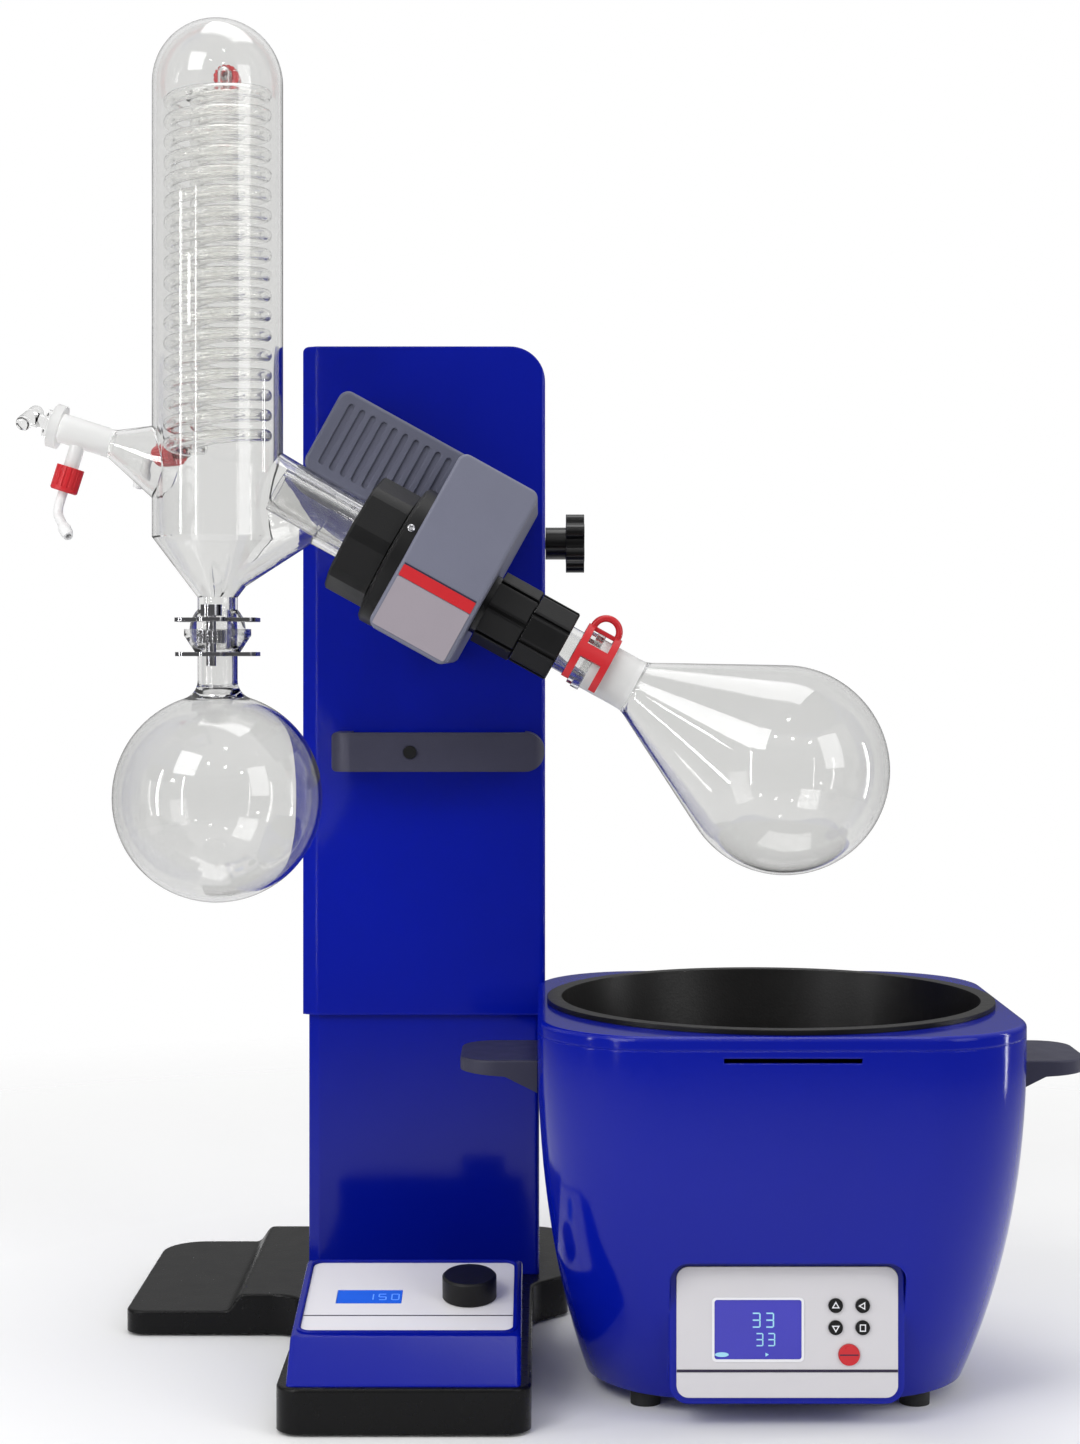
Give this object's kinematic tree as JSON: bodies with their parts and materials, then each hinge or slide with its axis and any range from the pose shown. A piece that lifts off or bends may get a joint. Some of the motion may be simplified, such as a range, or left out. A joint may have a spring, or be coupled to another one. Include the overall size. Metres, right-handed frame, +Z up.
{
  "type": "rotary evaporator",
  "caption": "Bench rotary evaporator: a lifting column carries a tilted rotary drive with glass condenser and flasks above a heated water bath, with a control console on its base.",
  "frame": {"origin": "middle of the overall footprint, on the bench plane", "axes": "+Z up, +X to the right (towards the bath), +Y to the back; the console and the bath fascia face -Y"},
  "size_m": [0.6659, 0.411, 0.85],
  "materials": {
    "black_casting": "satin black paint on a casting",
    "blue_paint": "gloss blue powder coat",
    "grey_plastic": "fine satin",
    "black_plastic": "satin",
    "white_fascia": "satin film",
    "display": "gloss",
    "circuit_board": "satin",
    "steel": "ground",
    "chrome": "polished",
    "aluminium": "machined",
    "rubber": "matte",
    "glass": "clear",
    "red_plastic": "gloss",
    "white_plastic": "satin",
    "bowl_coating": "black non-stick coating"
  },
  "bodies": {
    "stand": {"base_casting": "black_casting", "base_feet": "rubber", "console_shell": "blue_paint", "console_panel": "white_fascia", "speed_display": "display", "control_board": "circuit_board", "inner_column": "blue_paint", "guide_rods": "steel", "gas_spring_cylinder": "black_plastic", "power_inlet": "black_plastic"},
    "speed_knob": {"speed_knob": "black_plastic"},
    "lift": {"lift_sleeve": "blue_paint", "carriage_block": "aluminium", "slide_bushings": "white_plastic", "gas_spring_rod": "steel", "lift_handle": "grey_plastic"},
    "release_button": {"release_button": "black_plastic"},
    "tilt_lock": {"tilt_lock_knob": "black_plastic", "tilt_lock_stud": "steel"},
    "head": {"drive_housing": "grey_plastic", "motor_cover": "grey_plastic", "pivot_flange": "aluminium", "pivot_shaft": "steel", "drive_motor": "steel", "drive_belt": "rubber", "hub_bearings": "steel", "coupling_flange": "black_plastic", "shaft_seal": "white_plastic", "condenser_jacket": "glass", "condenser_coil": "glass", "hose_caps": "red_plastic", "hose_nozzles": "white_plastic", "clamp_forks": "chrome", "receiving_flask": "glass"},
    "condenser_nut": {"condenser_nut": "black_plastic"},
    "rotor": {"rotor_hub": "steel", "driven_pulley": "aluminium", "flask_clamp_nut": "black_plastic", "vapour_tube": "glass", "evaporating_flask": "glass", "flask_clip": "red_plastic"},
    "ejector": {"ejector_collar": "black_plastic"},
    "motor_rotor": {"motor_pulley": "steel"},
    "valve_key": {"valve_key": "glass"},
    "clamp_screw": {"clamp_screw": "chrome"},
    "bath": {"bath_shell": "blue_paint", "bath_rim": "blue_paint", "bath_bowl": "bowl_coating", "bath_heater": "aluminium", "bath_feet": "rubber", "bath_handles": "grey_plastic", "bath_panel": "white_fascia", "bath_display": "display", "bath_inlet": "black_plastic"},
    "bath_switch": {"bath_switch": "red_plastic"},
    "key_upper_left": {"key_upper_left": "grey_plastic"},
    "key_upper_right": {"key_upper_right": "grey_plastic"},
    "key_lower_left": {"key_lower_left": "grey_plastic"},
    "key_lower_right": {"key_lower_right": "grey_plastic"}
  },
  "joints": [
    {"name": "lift_slide", "type": "slide", "parent": "stand", "child": "lift", "axis": [0, 0, 1], "range_m": [-0.14, 0]},
    {"name": "head_tilt", "type": "hinge", "parent": "lift", "child": "head", "pos_m": [-0.06, 0.06, 0.526], "axis": [0, 1, 0], "range_deg": [-14, 10]},
    {"name": "tilt_lock_turn", "type": "hinge", "parent": "lift", "child": "tilt_lock", "pos_m": [-0.0015, 0.081, 0.526], "axis": [1, 0, 0], "range_deg": [0, 270]},
    {"name": "release_press", "type": "slide", "parent": "lift", "child": "release_button", "axis": [0, 1, 0], "range_m": [0, 0.003], "stiffness_N_per_m": 600},
    {"name": "flask_spin", "type": "hinge", "parent": "head", "child": "rotor", "pos_m": [-0.02579, -0.06, 0.47407], "axis": [0.8746, 0, -0.4848], "continuous": true},
    {"name": "motor_spin", "type": "hinge", "parent": "head", "child": "motor_rotor", "pos_m": [-0.04528, 0.019, 0.54204], "axis": [0.8746, 0, -0.4848], "continuous": true},
    {"name": "condenser_nut_turn", "type": "hinge", "parent": "head", "child": "condenser_nut", "pos_m": [-0.11325, -0.06, 0.52255], "axis": [0.8746, 0, -0.4848], "range_deg": [0, 270]},
    {"name": "ejector_turn", "type": "hinge", "parent": "rotor", "child": "ejector", "pos_m": [0.00045, -0.06, 0.45953], "axis": [0.8746, 0, -0.4848], "range_deg": [0, 180]},
    {"name": "valve_turn", "type": "hinge", "parent": "head", "child": "valve_key", "pos_m": [-0.30332, -0.06, 0.59184], "axis": [-0.9532, 0, 0.3024], "continuous": true},
    {"name": "clamp_screw_turn", "type": "hinge", "parent": "head", "child": "clamp_screw", "pos_m": [-0.208, -0.0905, 0.46], "axis": [0, 0, 1], "range_deg": [0, 360]},
    {"name": "speed_knob_turn", "type": "hinge", "parent": "stand", "child": "speed_knob", "pos_m": [-0.048, -0.1085, 0.059], "axis": [0, -0.1629, 0.9866], "continuous": true},
    {"name": "bath_shift", "type": "slide", "parent": "stand", "child": "bath", "axis": [1, 0, 0], "range_m": [0, 0.03]},
    {"name": "key_upper_left_press", "type": "slide", "parent": "bath", "child": "key_upper_left", "axis": [0, 1, 0], "range_m": [0, 0.0008], "stiffness_N_per_m": 800},
    {"name": "key_upper_right_press", "type": "slide", "parent": "bath", "child": "key_upper_right", "axis": [0, 1, 0], "range_m": [0, 0.0008], "stiffness_N_per_m": 800},
    {"name": "key_lower_left_press", "type": "slide", "parent": "bath", "child": "key_lower_left", "axis": [0, 1, 0], "range_m": [0, 0.0008], "stiffness_N_per_m": 800},
    {"name": "key_lower_right_press", "type": "slide", "parent": "bath", "child": "key_lower_right", "axis": [0, 1, 0], "range_m": [0, 0.0008], "stiffness_N_per_m": 800},
    {"name": "bath_switch_press", "type": "slide", "parent": "bath", "child": "bath_switch", "axis": [0, 1, 0], "range_m": [0, 0.001], "stiffness_N_per_m": 800}
  ],
  "couplings": [
    {"joint": "motor_spin", "follows": "flask_spin", "ratio": 3.4444}
  ]
}
